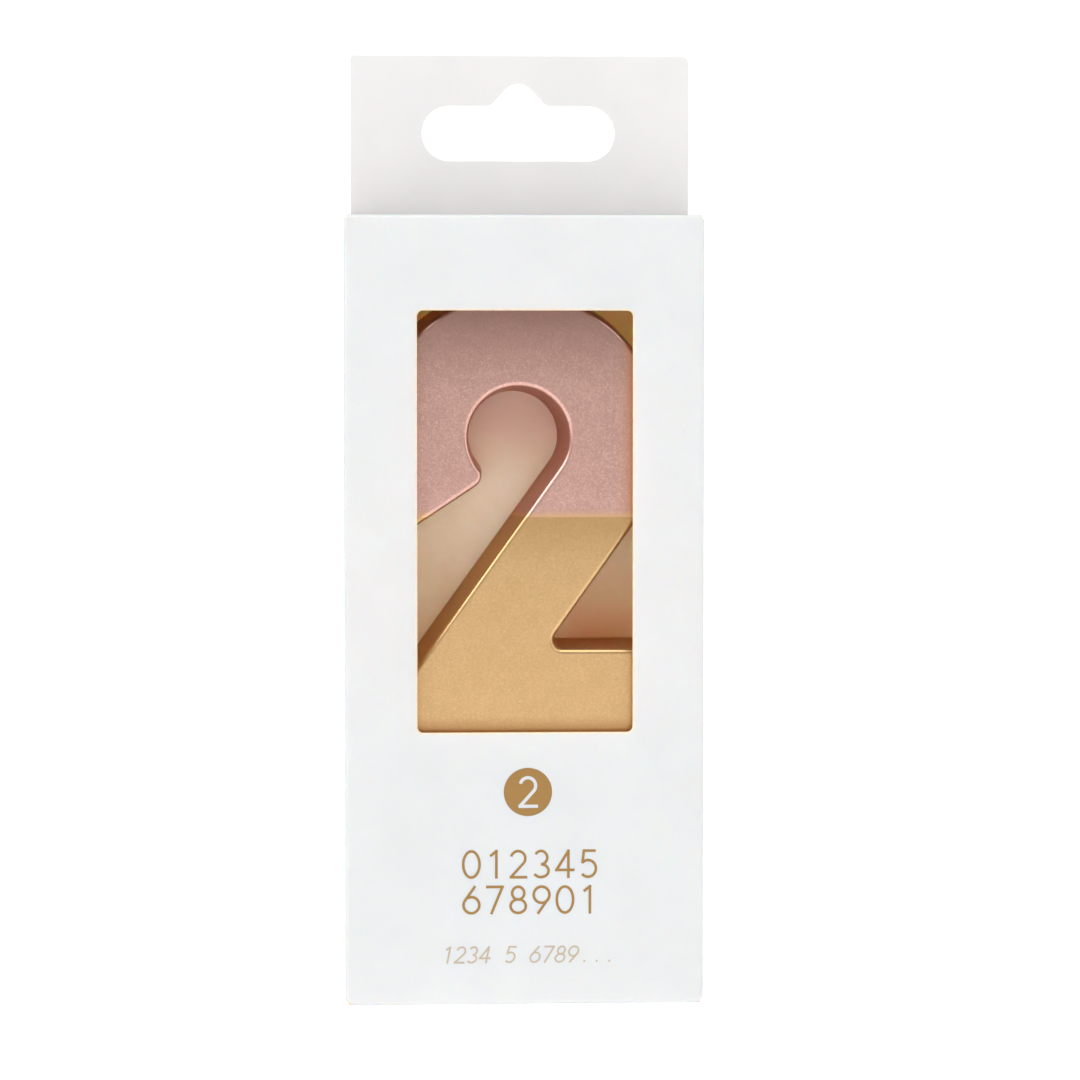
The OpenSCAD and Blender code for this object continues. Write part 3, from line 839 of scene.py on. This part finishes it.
def digit_strokes(d):
    """The strokes of a digit drawn with one even line, in a cell one unit high: each is an array
    of points along an arc or a straight line, and strokes meet at the corners."""
    def oval(cx, cz, rx, rz, a0, a1, n=24):
        return np.array([cx, cz]) + arc((0.0, 0.0), 1.0, a0, a1, n) * np.array([rx, rz])

    def line(*points):
        return np.array(points, float)
    return {
        "0": [oval(0.0, 0.5, 0.31, 0.5, 90, 450, 40)],
        "1": [line((-0.14, 0.84), (0.06, 1.0)), line((0.06, 1.0), (0.06, 0.0))],
        "2": [np.concatenate([oval(0.0, 0.72, 0.27, 0.28, 165, -38), line((-0.28, 0.0))]),
              line((-0.28, 0.0), (0.3, 0.0))],
        "3": [oval(-0.02, 0.745, 0.235, 0.255, 150, -90),
              oval(-0.02, 0.245, 0.285, 0.245, 90, -150, 28)],
        "4": [line((0.13, 0.0), (0.13, 1.0)), line((0.13, 1.0), (-0.32, 0.27)),
              line((-0.32, 0.27), (0.32, 0.27))],
        "5": [line((0.24, 1.0), (-0.17, 1.0)), line((-0.17, 1.0), (-0.22, 0.56)),
              oval(-0.01, 0.32, 0.3, 0.32, 132, -140, 28)],
        "6": [line((0.12, 1.0), (-0.25, 0.47)), oval(0.0, 0.31, 0.3, 0.31, 90, 450, 40)],
        "7": [line((-0.29, 1.0), (0.29, 1.0)), line((0.29, 1.0), (-0.12, 0.0))],
        "8": [oval(0.0, 0.755, 0.23, 0.245, -90, 270, 36), oval(0.0, 0.26, 0.29, 0.26, 90, 450, 36)],
        "9": [line((-0.12, 0.0), (0.25, 0.53)), oval(0.0, 0.69, 0.3, 0.31, 90, 450, 40)],
        ".": [line((0.0, 0.03), (0.0, 0.06))],
    }[d]


def ribbon(stroke, width, y):
    """A flat stroke of even width along points [x, z], as two grids: its face at y and its back."""
    run = np.gradient(stroke, axis=0)
    run /= np.maximum(np.linalg.norm(run, axis=1, keepdims=True), 1e-9)
    across = np.stack([-run[:, 1], run[:, 0]], 1) * width / 2
    face = np.stack([stroke + across, stroke - across], 1)
    front = np.concatenate([face[..., :1], np.full(face.shape[:2] + (1,), y), face[..., 1:]], 2)
    back = front + np.array([0.0, foil_t, 0.0])
    return front, back


def printed(name, y, rows, material):
    """One object at depth y from many ribbons. rows are (text, centre x, base z, height, pitch,
    line width, slant). Straight strokes run on by nearly half a line width to fill the corners,
    and each stroke of a digit lies a hair higher than the last, so that no two faces coincide."""
    points, faces, start = [], [], 0
    for text, cx, base, height, pitch, width, slant in rows:
        for n, d in enumerate(text):
            if d == " ":
                continue
            x0 = cx + (n - (len(text) - 1) / 2) * pitch
            for layer, s in enumerate(digit_strokes(d)):
                line = np.stack([x0 + (s[:, 0] + slant * s[:, 1]) * height, base + s[:, 1] * height], 1)
                if len(line) == 2:
                    on = (line[1] - line[0]) / np.linalg.norm(line[1] - line[0]) * width * 0.45
                    line = line + np.array([-on, on])
                front, back = ribbon(line, width, y - layer * stroke_lift)
                points += [front.reshape(-1, 3), back.reshape(-1, 3)]
                h = 2 * len(line)
                i = np.arange(0, h - 2, 2) + start
                e = start + h - 2
                faces += [np.stack([i, i + 1, i + 3, i + 2], 1), np.stack([i + 2, i + 3, i + 1, i], 1) + h,
                          np.stack([i, i + 2, i + 2 + h, i + h], 1),
                          np.stack([i + 3, i + 1, i + 1 + h, i + 3 + h], 1),
                          np.array([[start, start + h, start + 1 + h, start + 1],
                                    [e, e + 1, e + 1 + h, e + h]])]
                start += 2 * h
    made = mesh_object(name, np.concatenate(points), np.concatenate(faces), [material], None, 30.0)
    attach(made, "carton")
    return made


print_y = front_y - foil_lift
print_x = 0.85 * MM
rows = [("012345", print_x, 21.4 * MM, 4.4 * MM, 3.92 * MM, 0.45 * MM, 0.0),
        ("678901", print_x, 15.4 * MM, 4.4 * MM, 3.92 * MM, 0.45 * MM, 0.0)]
printed("foil_digits", print_y, rows, foil_mat)
pale_row = [("1234 5 6789...", 0.5 * MM, 7.1 * MM, 2.6 * MM, 2.1 * MM, 0.3 * MM, 0.2)]
printed("pale_digits", print_y, pale_row, pale_mat)

badge_x, badge_z, badge_r = 0.52 * MM, 35.72 * MM, 4.05 * MM
angle = np.linspace(0.0, 2 * math.pi, 72, endpoint=False)
disc = np.stack([badge_x + badge_r * np.cos(angle), badge_z + badge_r * np.sin(angle)], 1)
badge_points, badge_faces = loft(np.array([at_depth(disc, print_y), at_depth(disc, print_y + foil_t)]))
badge = mesh_object("foil_badge", badge_points, badge_faces, [foil_mat], None, 30.0)
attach(badge, "carton")
# The badge's digit is bare card that shows through the foil.
badge_digit = [("2", badge_x, badge_z - 2.4 * MM, 4.8 * MM, 1.0 * MM, 0.55 * MM, 0.0)]
printed("badge_digit", print_y - bare_lift, badge_digit, card_outside)
